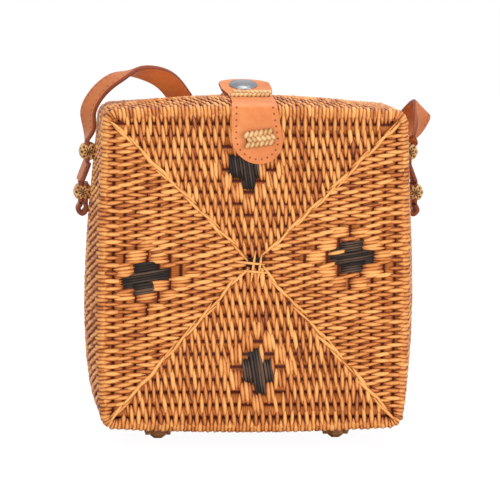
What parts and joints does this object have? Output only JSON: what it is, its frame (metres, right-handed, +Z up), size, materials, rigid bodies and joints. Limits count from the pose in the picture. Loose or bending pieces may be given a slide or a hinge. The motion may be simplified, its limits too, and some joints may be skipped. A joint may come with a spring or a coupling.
{
  "type": "shoulder bag",
  "caption": "Square hard-sided shoulder bag of coiled grass in two hinged shells, with a leather snap flap and a leather strap.",
  "frame": {"origin": "middle of the overall box, on the surface that the bag stands on", "axes": "+Z up, the bag's front towards -Y, +X to the right seen from the front"},
  "size_m": [0.2372, 0.1152, 0.2422],
  "materials": {
    "woven_grass": "satin",
    "dyed_grass": "satin",
    "plaited_grass": "satin",
    "tab_leather": "matte",
    "strap_leather": "matte",
    "snap_metal": "satin"
  },
  "bodies": {
    "back": {"back_shell": "woven_grass", "hinge_knot_left": "plaited_grass", "hinge_knot_right": "plaited_grass", "rear_braid": "plaited_grass", "rear_tab": "tab_leather", "shoulder_strap": "strap_leather", "snap_lower": "snap_metal", "strap_keeper_left_lower": "plaited_grass", "strap_keeper_left_upper": "plaited_grass", "strap_keeper_right_lower": "plaited_grass", "strap_keeper_right_upper": "plaited_grass"},
    "front": {"front_shell": "woven_grass", "dark_cross_top": "dyed_grass", "dark_cross_left": "dyed_grass", "dark_cross_right": "dyed_grass", "dark_cross_bottom": "dyed_grass", "front_tab": "tab_leather", "front_braid_lower": "plaited_grass", "front_braid_upper": "plaited_grass", "hinge_eyes_left": "plaited_grass", "hinge_eyes_right": "plaited_grass", "hinge_pin_left": "plaited_grass", "hinge_pin_right": "plaited_grass"},
    "flap": {"closure_flap": "tab_leather", "snap_cap": "snap_metal", "snap_upper": "snap_metal"}
  },
  "joints": [
    {"name": "shell_hinge", "type": "hinge", "parent": "back", "child": "front", "pos_m": [0, -0.01233, 0.00485], "axis": [1, 0, 0], "range_deg": [0, 80]},
    {"name": "flap_hinge", "type": "hinge", "parent": "front", "child": "flap", "pos_m": [0, -0.02033, 0.22715], "axis": [1, 0, 0], "range_deg": [0, 110]}
  ]
}
